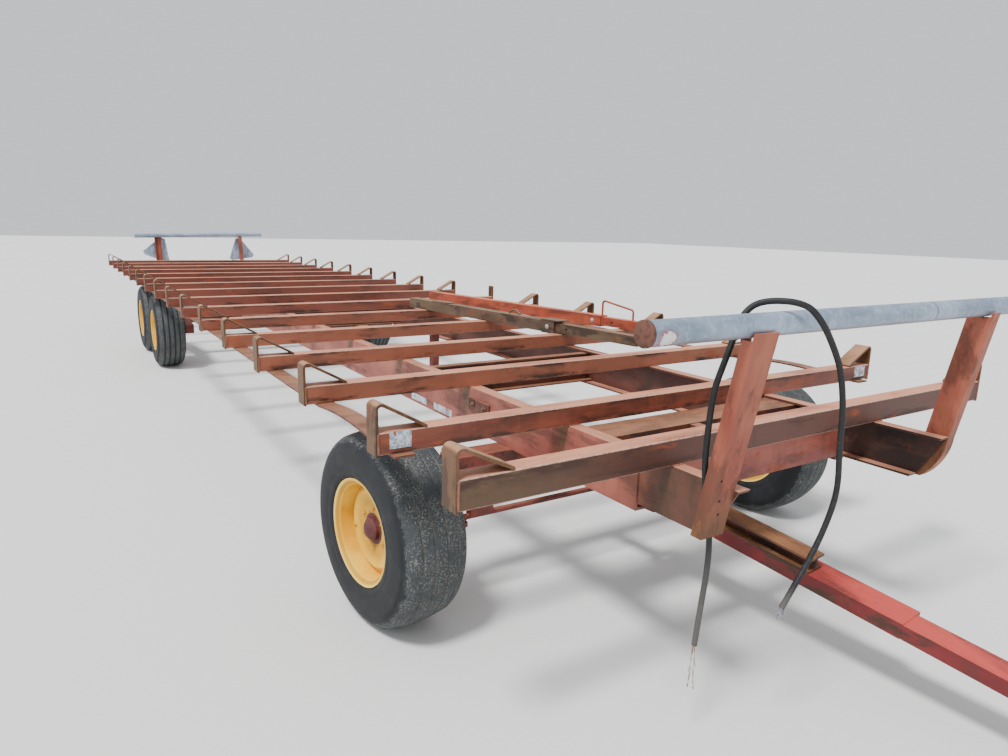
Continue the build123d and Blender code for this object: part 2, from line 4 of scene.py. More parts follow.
import bmesh
import bpy
import numpy as np
from mathutils import Matrix, Vector


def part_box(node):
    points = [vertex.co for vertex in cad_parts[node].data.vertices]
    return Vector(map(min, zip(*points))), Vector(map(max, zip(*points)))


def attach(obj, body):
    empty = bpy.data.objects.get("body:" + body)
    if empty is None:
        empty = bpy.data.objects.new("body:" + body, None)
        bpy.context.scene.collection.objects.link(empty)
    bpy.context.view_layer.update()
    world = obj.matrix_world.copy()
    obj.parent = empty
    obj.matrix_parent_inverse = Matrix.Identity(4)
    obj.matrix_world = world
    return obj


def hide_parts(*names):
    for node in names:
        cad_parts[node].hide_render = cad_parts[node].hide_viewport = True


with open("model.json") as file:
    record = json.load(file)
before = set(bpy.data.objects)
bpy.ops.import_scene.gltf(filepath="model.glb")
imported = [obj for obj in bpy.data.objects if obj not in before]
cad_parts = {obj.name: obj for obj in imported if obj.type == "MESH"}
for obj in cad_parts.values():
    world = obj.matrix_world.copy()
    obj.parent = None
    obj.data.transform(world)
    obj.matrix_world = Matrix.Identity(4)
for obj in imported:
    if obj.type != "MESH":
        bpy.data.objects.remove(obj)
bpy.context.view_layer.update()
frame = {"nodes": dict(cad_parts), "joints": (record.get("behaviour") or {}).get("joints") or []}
nodes = frame["nodes"]
joints = {joint["name"]: joint for joint in frame["joints"]}
print("frame loaded:", len(nodes), "nodes")

# Places are given from the front bar's middle line and from the deck's top
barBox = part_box("crossbar_front")
barX = (barBox[0].x + barBox[1].x) / 2
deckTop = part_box("crossbars")[1].z
barSize = 0.076
firstBay = 0.531
barPitch = 0.753
barCount = 16
barsX = [barX] + [barX - firstBay - barPitch * number for number in range(barCount - 1)]
barBottom = deckTop - barSize


def spot(x, y, z):
    # A point from the front bar, the middle line and the deck
    return Vector((barX + x, y, deckTop + z))


# Camera
cameraLook = {
    "place": (1.5624, -2.2205, 0.6577),  # from the front bar and the deck, metres
    "heading": 147.148,
    "pitch": -12.072,
    "roll": 1.452,
    "focal": 711.93,  # like the middle and the frame, in pixels
    "middle": (505.10, 379.08),
    "frame": (1008, 756),
}


def addCamera(look):
    heading, pitch, roll = (math.radians(look[name]) for name in ("heading", "pitch", "roll"))
    level = math.cos(pitch)
    forward = Vector((math.cos(heading) * level, math.sin(heading) * level, math.sin(pitch)))
    right = forward.cross(Vector((0, 0, 1))).normalized()
    above = right.cross(forward)
    across = math.cos(roll) * right + math.sin(roll) * above
    upward = math.cos(roll) * above - math.sin(roll) * right
    camera = bpy.data.objects.new("camera", bpy.data.cameras.new("camera"))
    bpy.context.scene.collection.objects.link(camera)
    turn = Matrix((across, upward, -forward)).transposed()
    camera.matrix_world = Matrix.Translation(spot(*look["place"])) @ turn.to_4x4()
    width, height = look["frame"]
    camera.data.sensor_width = 36
    camera.data.lens = look["focal"] / width * camera.data.sensor_width
    camera.data.shift_x = (width / 2 - look["middle"][0]) / width
    camera.data.shift_y = (look["middle"][1] - height / 2) / width
    camera.data.clip_end = 200
    bpy.context.scene.camera = camera


addCamera(cameraLook)
print("camera set")


# Mesh building
def linkMesh(name, points, faces, smooth=True, closed=True):
    # One object from points and faces; double points are merged and a closed shell's normals turned outwards
    mesh = bpy.data.meshes.new(name)
    mesh.from_pydata(np.asarray(points, float).reshape(-1, 3).tolist(), [], [list(face) for face in faces])
    shell = bmesh.new()
    shell.from_mesh(mesh)
    bmesh.ops.remove_doubles(shell, verts=shell.verts, dist=1e-6)
    bmesh.ops.dissolve_degenerate(shell, edges=shell.edges, dist=1e-7)
    if closed:
        bmesh.ops.recalc_face_normals(shell, faces=shell.faces)
    shell.to_mesh(mesh)
    shell.free()
    mesh.polygons.foreach_set("use_smooth", [smooth] * len(mesh.polygons))
    thing = bpy.data.objects.new(name, mesh)
    bpy.context.scene.collection.objects.link(thing)
    return thing


def gridFaces(rows, columns, wrapRows=False):
    # Four-sided faces between each point of a grid and the next ones; each row is a closed ring
    index = np.arange(rows * columns).reshape(rows, columns)
    if wrapRows:
        index = np.vstack((index, index[:1]))
    index = np.hstack((index, index[:, :1]))
    corners = (index[:-1, :-1], index[1:, :-1], index[1:, 1:], index[:-1, 1:])
    return np.stack(corners, -1).reshape(-1, 4)


class Batch:
    # Many small surfaces that become one mesh
    def __init__(self):
        self.points, self.faces, self.count = [], [], 0

    def grid(self, points):
        rows, columns = points.shape[:2]
        self.points.append(points.reshape(-1, 3))
        self.faces.append(gridFaces(rows, columns) + self.count)
        self.count += rows * columns

    def prism(self, outline, start, end, across, bevel):
        # An outline carried from start to end. The bevel cuts its edges back at both ends, and faces to its
        # middle close it. A step is the length travelled and the outline's scale there.
        start, end = np.array(start, float), np.array(end, float)
        length = np.linalg.norm(end - start)
        along = (end - start) / length
        first = np.array(across, float) - np.dot(across, along) * along
        first /= np.linalg.norm(first)
        second = np.cross(along, first)
        outline = np.asarray(outline, float)
        inset = 1 - bevel / np.abs(outline).max()
        steps = ((0, 0), (0, inset), (bevel, 1), (length - bevel, 1), (length, inset), (length, 0))
        rows = [
            start + along * travel + scale * (outline[:, :1] * first + outline[:, 1:] * second)
            for travel, scale in steps
        ]
        self.grid(np.array(rows))

    def tube(self, path, radii, sides=8):
        # A round section carried along a path; its ends close on the path's ends
        path = np.asarray(path, float)
        tangent = np.gradient(path, axis=0)
        tangent /= np.linalg.norm(tangent, axis=1, keepdims=True)
        # Any direction guides the section, as long as the path doesn't run along it
        guide = np.array((0.31, 0.52, 0.79)) if abs(tangent[0, 2]) < 0.9 else np.array((0.9, 0.4, 0.1))
        first = np.cross(tangent, guide)
        first /= np.linalg.norm(first, axis=1, keepdims=True)
        second = np.cross(tangent, first)
        turn = np.linspace(0, 2 * np.pi, sides, endpoint=False)[None, :, None]
        radii = np.broadcast_to(np.asarray(radii, float).reshape(-1, 1, 1), (len(path), 1, 1))
        rings = path[:, None] + radii * (np.cos(turn) * first[:, None] + np.sin(turn) * second[:, None])
        ends = np.repeat(path[[0, -1]][:, None], sides, axis=1)
        self.grid(np.concatenate((ends[:1], rings, ends[1:])))

    def make(self, name, body, slot, material, smooth=True):
        thing = linkMesh(name, np.concatenate(self.points), np.concatenate(self.faces), smooth)
        return dress(thing, body, material)


def ngon(sides, radius):
    angle = np.linspace(0, 2 * np.pi, sides, endpoint=False)
    return radius * np.stack((np.cos(angle), np.sin(angle)), -1)


def rectangle(width, height):
    return np.array(((1, 1), (-1, 1), (-1, -1), (1, -1))) * (width / 2, height / 2)


def dress(thing, body, material):
    thing.data.materials.clear()
    thing.data.materials.append(material)
    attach(thing, body)
    return thing


# Shader building
def srgb(red, green, blue):
    # A 0-255 colour as the linear one that shaders use
    channels = [channel / 255 for channel in (red, green, blue)]
    return [c / 12.92 if c <= 0.04045 else ((c + 0.055) / 1.055) ** 2.4 for c in channels] + [1.0]


class Value:
    # A socket's value. Arithmetic on it adds Math nodes to its finish.
    def __init__(self, finish, out):
        self.finish, self.out = finish, out

    def math(self, operation, *values):
        return self.finish.add("ShaderNodeMath", {"operation": operation}, dict(enumerate(values)))

    def __add__(self, other):
        return self.math("ADD", self, other)

    def __sub__(self, other):
        return self.math("SUBTRACT", self, other)

    def __rsub__(self, other):
        return self.math("SUBTRACT", other, self)

    def __mul__(self, other):
        return self.math("MULTIPLY", self, other)

    def __truediv__(self, other):
        return self.math("DIVIDE", self, other)

    def __neg__(self):
        return self.math("MULTIPLY", self, -1.0)

    def __abs__(self):
        return self.math("ABSOLUTE", self)

    __radd__ = __add__
    __rmul__ = __mul__

    def smooth(self, low, high):
        # 0 below low, 1 above high, and a soft step between
        settings = {"interpolation_type": "SMOOTHSTEP"}
        return self.finish.add("ShaderNodeMapRange", settings, {0: self, 1: low, 2: high, 3: 0.0, 4: 1.0})

    def band(self, middle, half, soft):
        # 1 within half of the middle, fading over the soft width
        return 1 - abs(self - middle).smooth(half, half + soft)

    def fraction(self):
        return self.math("FRACT", self)


class Finish:
    # One procedural material. add() makes every node.
    def __init__(self, name):
        self.material = bpy.data.materials.new(name)
        self.material.use_nodes = True
        self.material.node_tree.nodes.clear()
        self.place = self.add("ShaderNodeTexCoord", out="Object")
        self.x, self.y, self.z = self.split(self.place)
        self.faceX, self.faceY, self.faceZ = self.split(self.add("ShaderNodeTexCoord", out="Normal"))

    def add(self, kind, settings=None, inputs=None, out=0):
        tree = self.material.node_tree
        node = tree.nodes.new(kind)
        for name, value in (settings or {}).items():
            setattr(node, name, value)
        for key, value in (inputs or {}).items():
            if isinstance(value, Value):
                tree.links.new(value.out, node.inputs[key])
            else:
                node.inputs[key].default_value = value
        return Value(self, node.outputs[out]) if len(node.outputs) else None

    def split(self, vector):
        node = self.add("ShaderNodeSeparateXYZ", {}, {0: vector}).out.node
        return [Value(self, out) for out in node.outputs]

    def noise(self, scale, detail=3.0, rough=0.55, stretch=(1, 1, 1), seed=0.0):
        # Fractal noise over the piece, stretched where a stretch is given and moved by the seed
        offset = (seed, seed * 1.7, seed * 0.6)
        moved = self.add("ShaderNodeMapping", {}, {0: self.place, 1: offset, 3: stretch})
        inputs = {"Vector": moved, "Scale": scale, "Detail": detail, "Roughness": rough}
        return self.add("ShaderNodeTexNoise", {}, inputs)

    def cells(self, scale):
        return self.add("ShaderNodeTexVoronoi", {}, {"Vector": self.place, "Scale": scale})

    def mix(self, first, second, share):
        # The first colour, replaced by the second as the share goes from 0 to 1
        return self.add("ShaderNodeMix", {"data_type": "RGBA"}, {0: share, 6: first, 7: second}, out=2)

    def attribute(self, name):
        return self.add("ShaderNodeAttribute", {"attribute_name": name}, out="Fac")

    def edges(self):
        # 1 on the rounded edges of a squared piece, where no axis is along the normal
        largest = abs(self.faceX).math("MAXIMUM", abs(self.faceX), abs(self.faceY))
        largest = largest.math("MAXIMUM", largest, abs(self.faceZ))
        return (1 - largest).smooth(0.01, 0.12)

    def close(self, colour, roughness, height, depth, metallic=0.0, **fixed):
        # The shader and its bump, as deep as the depth in metres where the height goes from 0 to 1
        bump = self.add("ShaderNodeBump", {}, {"Strength": 1.0, "Distance": depth, "Height": height})
        inputs = {"Base Color": colour, "Roughness": roughness, "Metallic": metallic, "Normal": bump}
        inputs.update({key.replace("_", " "): value for key, value in fixed.items()})
        shader = self.add("ShaderNodeBsdfPrincipled", {}, inputs)
        self.add("ShaderNodeOutputMaterial", {}, {"Surface": shader})
        return self.material


# Cables: two free ends of one wiring lead slung over the front pipe
cableStyle = {
    "radius": 0.009, "sheath": srgb(15, 17, 19), "dust": srgb(104, 102, 96), "grey": srgb(88, 84, 80),
}
cableRoutes = {
    # Metres from the front bar, the middle line and the deck
    "front": (
        (0.344, -0.547, 0.480), (0.388, -0.509, 0.480), (0.412, -0.462, 0.430), (0.408, -0.395, 0.362),
        (0.402, -0.332, 0.286), (0.396, -0.296, 0.206), (0.392, -0.274, 0.132), (0.390, -0.268, 0.040),
        (0.386, -0.240, -0.100), (0.384, -0.269, -0.196), (0.382, -0.327, -0.298), (0.378, -0.390, -0.383),
        (0.372, -0.435, -0.451),
    ),
    "back": (
        (0.344, -0.547, 0.480), (0.300, -0.585, 0.480), (0.278, -0.629, 0.436), (0.282, -0.660, 0.366),
        (0.280, -0.687, 0.300), (0.270, -0.703, 0.232), (0.256, -0.696, 0.115), (0.240, -0.678, 0.004),
        (0.228, -0.652, -0.080), (0.220, -0.624, -0.137), (0.231, -0.617, -0.245), (0.236, -0.622, -0.340),
        (0.236, -0.638, -0.465), (0.236, -0.650, -0.581),
    ),
}


def cableFinish():
    finish = Finish("cableRubber")
    scuff = finish.noise(45, 4, 0.6)
    # The end behind the post has gone grey, and the other end is grey on its last hand's width only
    low = (1 - finish.z.smooth(0.40, 0.75)) * (1 - finish.y.smooth(-0.60, -0.52))
    low = low + (1 - finish.z.smooth(0.47, 0.53)) * finish.y.smooth(-0.60, -0.52)
    colour = finish.mix(cableStyle["sheath"], cableStyle["grey"], scuff.smooth(0.5, 0.75) * 0.25 + low * 0.75)
    dusty = finish.noise(160, 3).smooth(0.58, 0.75) * (0.15 + low * 0.4)
    colour = finish.mix(colour, cableStyle["dust"], dusty)
    return finish.close(colour, 0.5 + scuff * 0.3, scuff, 0.0008)


def addCable(name, points, material):
    curve = bpy.data.curves.new(f"cable_{name}", "CURVE")
    curve.dimensions = "3D"
    curve.resolution_u = 12
    curve.bevel_depth = cableStyle["radius"]
    curve.bevel_resolution = 5
    curve.use_fill_caps = True
    spline = curve.splines.new("NURBS")
    spline.points.add(len(points) - 1)
    spline.points.foreach_set("co", np.array([(*spot(*point), 1.0) for point in points]).ravel())
    spline.order_u = 3
    spline.use_endpoint_u = True
    cable = bpy.data.objects.new(f"cable{name.capitalize()}", curve)
    bpy.context.scene.collection.objects.link(cable)
    dress(cable, "frame", material)
    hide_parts(f"cable_{name}")
    return cable


def strandFinish(name, bare, stained):
    finish = Finish(name)
    stain = finish.noise(60, 3).smooth(0.42, 0.6)
    return finish.close(finish.mix(bare, stained, stain), 0.55 + stain * 0.3, stain, 0.0003)


strandStyle = {
    # piece: cable, count, length, spread, radius, bare colour, stain
    "wiresBack": ("back", 4, 0.150, 0.010, 0.0017, srgb(196, 190, 178), srgb(134, 96, 70)),
    "wiresFront": ("front", 7, 0.046, 0.013, 0.0011, srgb(150, 158, 166), srgb(96, 98, 104)),
}


def addStrands(piece, cable, count, length, spread, radius, bare, stained):
    # Strands that leave the sheath together, wave a little and spread as they hang. They start 4 mm inside it,
    # and are between 0.44 and 1 times the full length.
    batch = Batch()
    end = np.array(spot(*cableRoutes[cable][-1]))
    before = np.array(spot(*cableRoutes[cable][-2]))
    leave = (end - before) / np.linalg.norm(end - before)
    travel = np.linspace(0, 1, 14)[:, None]
    for number in range(count):
        angle = 2 * math.pi * number / count
        side = np.array((math.cos(angle), math.sin(angle), 0))
        reach = length * (0.72 + 0.28 * math.cos(2.3 * number))
        hang = leave * (1 - travel) + np.array((0, 0, -1)) * travel
        wave = np.sin(travel * (5 + number)) * 0.25 * travel
        parting = 0.3 * travel + 0.7 * travel**2 + wave
        path = end + leave * -0.004 + hang * travel * reach + side * spread * parting
        path = path + side * 0.35 * cableStyle["radius"]
        batch.tube(path, radius)
    return batch.make(piece, "frame", "cable", strandFinish(piece + "Finish", bare, stained))


cableMaterial = cableFinish()
for name, points in cableRoutes.items():
    cable = addCable(name, points, cableMaterial)
    strands = [addStrands(piece, *row) for piece, row in strandStyle.items() if row[0] == name]
    spot(*points[0])
    2 * cableStyle["radius"]
print("cables hung")


# Floor and light
def addStage():
    half = 60
    corners = [(-half, -half, 0), (half, -half, 0), (half, half, 0), (-half, half, 0)]
    floor = linkMesh("floor", corners, [(0, 1, 2, 3)], closed=False)
    finish = Finish("paleFloor")
    colour = finish.mix(srgb(230, 230, 227), srgb(224, 224, 221), finish.noise(0.4, 2))
    floor.data.materials.append(finish.close(colour, 0.85, finish.noise(8, 2), 0.0005))
    world = bpy.data.worlds.new("softSky")
    world.use_nodes = True
    back = world.node_tree.nodes["Background"]
    back.inputs["Color"].default_value = srgb(240, 244, 250)
    back.inputs["Strength"].default_value = 0.95
    bpy.context.scene.world = world
    lamps = {
        # name: strength, width in degrees, where it shines from
        "keyLight": (3.9, 12, (0.22, -0.5, 1.0)),
        "fillLight": (0.3, 40, (-0.5, -0.8, 0.5)),
    }
    for name, (strength, width, source) in lamps.items():
        lamp = bpy.data.objects.new(name, bpy.data.lights.new(name, "SUN"))
        lamp.data.energy = strength
        lamp.data.angle = math.radians(width)
        lamp.rotation_euler = Vector(source).to_track_quat("Z", "Y").to_euler()
        bpy.context.scene.collection.objects.link(lamp)


addStage()
print("stage lit")

# Old paint on steel
paintLooks = {
    # name: paint, faded paint, top (sun-faded paint and painted highlight), dark stain (also painted shade on
    # faces that look down), orange rust, dust, and how much of each shows; then how the stains are stretched
    # along x, y and z, and what only some paints have
    "barPaint": {
        "paint": srgb(118, 58, 42), "faded": srgb(150, 84, 60), "top": srgb(208, 140, 108),
        "dark": srgb(64, 38, 28), "rust": srgb(166, 82, 40), "dust": srgb(198, 172, 144),
        "darkShare": 0.9, "rustShare": 0.6, "topShare": 0.9, "along": (1, 0.22, 1),
        "barBand": True, "edge": srgb(206, 172, 152),
    },
    "railPaint": {
        "paint": srgb(138, 72, 62), "faded": srgb(166, 96, 80), "top": srgb(196, 136, 106),
        "dark": srgb(74, 44, 35), "rust": srgb(140, 80, 48), "dust": srgb(180, 158, 130),
        "darkShare": 0.55, "rustShare": 0.3, "topShare": 0.9, "along": (0.3, 1, 1),
        "underBars": True, "rustAlong": (1, 1, 1),
    },
    "postPaint": {
        "paint": srgb(142, 66, 50), "faded": srgb(166, 92, 68), "top": srgb(188, 112, 82),
        "dark": srgb(74, 44, 31), "rust": srgb(142, 92, 46), "dust": srgb(190, 160, 126),
        "darkShare": 0.6, "rustShare": 0.75, "topShare": 0.8, "along": (1, 1, 0.35),
        "mud": (0.68, 0.92), "edge": srgb(210, 112, 56),
    },
    "platePaint": {
        "paint": srgb(130, 62, 52), "faded": srgb(152, 80, 66), "top": srgb(176, 112, 84),
        "dark": srgb(66, 40, 32), "rust": srgb(140, 76, 44), "dust": srgb(180, 152, 118),
        "darkShare": 0.45, "rustShare": 0.35, "topShare": 0.85, "along": (1, 0.4, 1),
    },
    "stopPaint": {
        "paint": srgb(102, 62, 42), "faded": srgb(128, 86, 60), "top": srgb(190, 142, 108),
        "dark": srgb(58, 38, 26), "rust": srgb(150, 90, 48), "dust": srgb(184, 156, 116),
        "darkShare": 0.8, "rustShare": 0.55, "topShare": 0.75, "along": (1, 1, 0.5),
        "mud": (0.92, 1.04),
    },
    "memberPaint": {
        "paint": srgb(88, 42, 31), "faded": srgb(110, 58, 42), "top": srgb(150, 102, 74),
        "dark": srgb(52, 33, 25), "rust": srgb(136, 78, 42), "dust": srgb(170, 144, 108),
        "darkShare": 0.85, "rustShare": 0.45, "topShare": 0.85, "along": (1, 0.4, 1),
    },
    "underPaint": {
        "paint": srgb(104, 38, 31), "faded": srgb(122, 54, 43), "top": srgb(142, 82, 60),
        "dark": srgb(50, 30, 23), "rust": srgb(118, 68, 40), "dust": srgb(146, 124, 94),
        "darkShare": 0.75, "rustShare": 0.35, "topShare": 0.7, "along": (1, 0.5, 1),
    },
    # The tongue's dark paint on its sides is partly painted shade, and its pale top partly painted highlight
    "tonguePaint": {
        "paint": srgb(96, 20, 22), "faded": srgb(122, 34, 34), "top": srgb(196, 70, 62),
        "dark": srgb(54, 38, 26), "rust": srgb(126, 80, 54), "dust": srgb(170, 118, 88),
        "darkShare": 0.85, "rustShare": 0.45, "topShare": 0.95, "along": (0.3, 1, 1),
    },
    "bracePaint": {
        "paint": srgb(76, 44, 31), "faded": srgb(104, 62, 43), "top": srgb(146, 98, 62),
        "dark": srgb(42, 29, 21), "rust": srgb(128, 76, 42), "dust": srgb(168, 138, 100),
        "darkShare": 0.9, "rustShare": 0.5, "topShare": 0.9, "along": (0.3, 1, 1),
    },
    "poleRust": {
        "paint": srgb(78, 56, 42), "faded": srgb(100, 80, 60), "top": srgb(136, 106, 80),
        "dark": srgb(48, 34, 25), "rust": srgb(134, 74, 42), "dust": srgb(150, 126, 96),
        "darkShare": 0.85, "rustShare": 0.5, "topShare": 0.8, "along": (0.25, 1, 1),
    },
    "orangePaint": {
        "paint": srgb(146, 58, 36), "faded": srgb(174, 80, 52), "top": srgb(212, 112, 76),
        "dark": srgb(74, 40, 28), "rust": srgb(146, 80, 42), "dust": srgb(190, 156, 120),
        "darkShare": 0.6, "rustShare": 0.4, "topShare": 0.85, "along": (0.25, 1, 1),
    },
}
paintStains = {
    # Colours of single places: on the crossbars, on the rails and nose, and on what stands low
    "lowerRed": srgb(166, 84, 58), "pale": srgb(152, 94, 68), "secondBar": srgb(84, 38, 27),
    "wine": srgb(96, 36, 32), "frontBar": srgb(66, 41, 33), "ochre": srgb(86, 68, 42),
    "streak": srgb(104, 84, 52), "dryMud": srgb(76, 50, 36), "darkMud": srgb(62, 47, 29),
    "shade": srgb(30, 18, 14), "splash": srgb(92, 62, 27),
}


def tintBars(finish, colour, stain, side, cloud, smear):
    height = (finish.z - barBottom) / barSize
    frontBar = finish.x.smooth(barX - 0.2, barX - 0.1) * side
    # Redder paint is left on the lower part of the bars behind the front one, with a ragged upper edge
    red = (1 - (height + (smear - 0.5) * 2.4).smooth(0.3, 0.62)) * side * (1 - frontBar)
    colour = finish.mix(colour, paintStains["lowerRed"], red * cloud.smooth(0.4, 0.6) * 0.7)
    # The second bar is darker, and from the third bar on the paint is paler
    pale = (1 - finish.x.smooth(barX - 1.2, barX - 0.8)) * side
    colour = finish.mix(colour, paintStains["pale"], pale * 0.55)
    colour = finish.mix(colour, paintStains["secondBar"], (1 - pale) * side * (1 - frontBar) * 0.4)
    # Towards the rear the bars are wine red
    wine = (1 - finish.x.smooth(barX - 4.6, barX - 2.6)) * side
    colour = finish.mix(colour, paintStains["wine"], wine * 0.62)
    # Stains gather along a bar's upper and lower edges
    stain = stain * (0.35 + abs(height - 0.55).smooth(0.1, 0.45)) * (0.35 + side * 0.65)
    # The front bar is brown, and ochre with dried mud at its near end
    colour = finish.mix(colour, paintStains["frontBar"], frontBar * (0.6 + cloud * 0.4))
    colour = finish.mix(colour, paintStains["ochre"], (-finish.y).smooth(0.75, 1.3) * frontBar * 0.7)
    return colour, stain


def tintRails(finish, colour, side, drip, smear):
    # Water off each bar has streaked the web below it. The phase counts bars, with a half below each one.
    phase = ((finish.x - barsX[1]) / barPitch + 20.5 + (drip - 0.5) * 0.06).fraction()
    streak = phase.band(0.5, 0.018, 0.05) * side * finish.z.smooth(0.60, 0.80)
    colour = finish.mix(colour, paintStains["streak"], streak * 0.7)
    # The nose is muddy, and the sides that face the middle of the wagon get painted shade, most on the nose
    muddy = finish.x.smooth(barX - 0.25, barX - 0.02) * side * (0.84 + drip.smooth(0.4, 0.6) * 0.14)
    mud = finish.mix(paintStains["dryMud"], paintStains["darkMud"], smear.smooth(0.4, 0.6))
    colour = finish.mix(colour, mud, muddy)
    inner = (-(finish.faceY * finish.y)).smooth(0.15, 0.35)
    paintedShade = inner * (0.7 + finish.x.smooth(barX, barX + 0.05) * 0.25)
    return finish.mix(colour, paintStains["shade"], paintedShade)


def paintFinish(name, look):
    finish = Finish(name)
    along = look["along"]
    cloud = finish.noise(7, 4, 0.6, along)
    smear = finish.noise(11, 5, 0.65, along, seed=3.1)
    speck = finish.noise(90, 4, 0.6, seed=5.3)
    pits = finish.cells(240).smooth(0.12, 0.02)
    drip = finish.noise(13, 5, 0.65, (1, 1, 0.3), seed=8.7)
    up = finish.faceZ.smooth(0.4, 0.85)
    side = 1 - abs(finish.faceZ).smooth(0.4, 0.85)
    below = (-finish.faceZ).smooth(0.4, 0.85)
    colour = finish.mix(look["paint"], look["faded"], cloud.smooth(0.34, 0.66))
    # Faces that look up take the top colour: partly sun-faded paint, partly a painted highlight for light from
    # above
    colour = finish.mix(colour, look["top"], up * look["topShare"] * cloud.smooth(0.2, 0.55))
    colour = finish.mix(colour, look["dark"], side * drip.smooth(0.5, 0.66) * 0.5 * look["darkShare"])
    stain = smear.smooth(0.5, 0.6) * look["darkShare"] * (1 - up * 0.6)
    if look.get("barBand"):
        colour, stain = tintBars(finish, colour, stain, side, cloud, smear)
    if look.get("underBars"):
        colour = tintRails(finish, colour, side, drip, smear)
    if look.get("mud"):
        low, high = look["mud"]
        splash = (1 - (finish.z + (smear - 0.5) * 0.3).smooth(low, high)) * 0.85
        colour = finish.mix(colour, paintStains["splash"], splash * (1 - up * 0.6))
    colour = finish.mix(colour, look["dark"], stain)
    rust = finish.noise(16, 6, 0.7, look.get("rustAlong", along), seed=11.9).smooth(0.56, 0.68)
    colour = finish.mix(colour, look["rust"], rust * look["rustShare"])
    colour = finish.mix(colour, look["dark"], pits * speck.smooth(0.5, 0.62) * 0.8)
    colour = finish.mix(colour, look["dust"], up * speck.smooth(0.5, 0.75) * 0.35)
    if look.get("edge"):
        # Lighter edges: partly worn paint, partly a painted highlight where light catches a rounded edge
        worn = finish.edges() * (0.35 + 0.65 * speck.smooth(0.35, 0.6))
        colour = finish.mix(colour, look["edge"], worn * 0.75 * (1 - below))
    # Painted shade: faces that look down are darkened
    colour = finish.mix(colour, look["dark"], below * 0.55)
    roughness = 0.58 + rust * 0.25 + stain * 0.12 + up * 0.05
    height = speck * 0.5 + smear * 0.4 + rust * 0.5 - pits * 0.4
    return finish.close(colour, roughness, height, 0.0011)


paints = {name: paintFinish(name, look) for name, look in paintLooks.items()}
print("paints mixed")


# Zinc coat of the pipes and plates
zincStyle = {
    "light": srgb(166, 182, 202), "deep": srgb(118, 134, 152), "white": srgb(208, 214, 220),
    "rust": srgb(128, 88, 64), "patchFill": srgb(226, 226, 228), "patchEdge": srgb(168, 84, 84),
    "seamShade": srgb(74, 76, 78), "patch": (-0.993, 0.407), "seam": 0.229,  # across, and up from the deck
}


def zincFinish(name, shade=1.0, capEnd=False):
    finish = Finish(name)
    spangle = finish.cells(60)
    cloud = finish.noise(9, 4, 0.6, (1, 0.3, 1))
    colour = finish.mix(zincStyle["deep"], zincStyle["light"], cloud.smooth(0.3, 0.7) * shade)
    colour = finish.mix(colour, zincStyle["white"], spangle.smooth(0.5, 0.9) * 0.25 * shade)
    spots = finish.noise(38, 5, 0.7, seed=4.4).smooth(0.63, 0.72)
    colour = finish.mix(colour, zincStyle["rust"], spots * 0.6)
    runs = finish.noise(24, 4, 0.6, (1, 1, 0.25), seed=6.2).smooth(0.5, 0.62)
    colour = finish.mix(colour, zincStyle["deep"], runs * 0.4 * shade)
    colour = finish.mix(colour, zincStyle["rust"], (-finish.faceZ).smooth(0.55, 0.95) * 0.5)
    if capEnd:
        # A small worn patch of white paint with a red edge, on the front of the front pipe near its near end
        middle, height = zincStyle["patch"]
        front = finish.x.smooth(barX, barX + 0.1) * finish.faceX.smooth(0.0, 0.2)
        aside = (finish.y - middle) * 42
        above = (finish.z - (deckTop + height)) * 56
        ring = aside * aside + above * above + (finish.noise(120, 5, 0.75, seed=2.2) - 0.5) * 5
        colour = finish.mix(colour, zincStyle["patchEdge"], (1 - ring.smooth(1.3, 2.2)) * front * 0.7)
        colour = finish.mix(colour, zincStyle["patchFill"], (1 - ring.smooth(0.75, 1.1)) * front)
        seam = finish.y.band(zincStyle["seam"], 0.0025, 0.002) * finish.x.smooth(barX, barX + 0.1)
        colour = finish.mix(colour, zincStyle["seamShade"], seam * 0.8)
    return finish.close(colour, 0.4 + spots * 0.4 + cloud * 0.12, cloud * 0.4 + spots, 0.0007, metallic=0.35)


# Wheels
rimStyle = {
    "paint": srgb(228, 170, 28), "pale": srgb(242, 194, 58), "deep": srgb(168, 112, 22),
    "rust": srgb(116, 72, 36), "slope": srgb(194, 130, 50), "lip": srgb(244, 210, 116),
}
hubStyle = {"paint": srgb(74, 27, 28), "faded": srgb(100, 50, 50), "dark": srgb(44, 24, 22)}


def fromAxle(finish, joint):
    # How far a point is from the wheel's axle line: the length of its offset crossed with the axis
    def vector(operation, *values, out=0):
        return finish.add("ShaderNodeVectorMath", {"operation": operation}, dict(enumerate(values)), out)

    offset = vector("SUBTRACT", finish.place, tuple(joint["pos_m"]))
    crossed = vector("CROSS_PRODUCT", offset, tuple(joint["axis"]))
    return vector("LENGTH", crossed, out="Value")


def rimFinish(name, joint):
    finish = Finish(name)
    radius = fromAxle(finish, joint)
    wash = finish.noise(8, 4, 0.6)
    speck = finish.noise(85, 4, 0.6, seed=6.1)
    colour = finish.mix(rimStyle["paint"], rimStyle["pale"], wash.smooth(0.35, 0.65))
    # Painted shade as darker rings on the bead seat, on the slope of the disc and round the hub, and a painted
    # highlight on the outer edge
    colour = finish.mix(colour, rimStyle["deep"], radius.band(0.197, 0.004, 0.004) * 0.6)
    colour = finish.mix(colour, rimStyle["slope"], radius.band(0.172, 0.008, 0.008) * 0.5)
    colour = finish.mix(colour, rimStyle["deep"], (1 - radius.smooth(0.10, 0.15)) * 0.55)
    nearHub = 1 - (radius + (wash - 0.5) * 0.05).smooth(0.062, 0.08)
    colour = finish.mix(colour, rimStyle["rust"], nearHub * 0.6)
    colour = finish.mix(colour, rimStyle["rust"], speck.smooth(0.66, 0.74) * 0.7)
    colour = finish.mix(colour, rimStyle["lip"], radius.smooth(0.205, 0.211) * 0.75)
    return finish.close(
        colour, 0.5 + wash * 0.2, speck * 0.3 + wash * 0.2, 0.0005, Coat_Weight=0.04, Specular_IOR_Level=0.35
    )


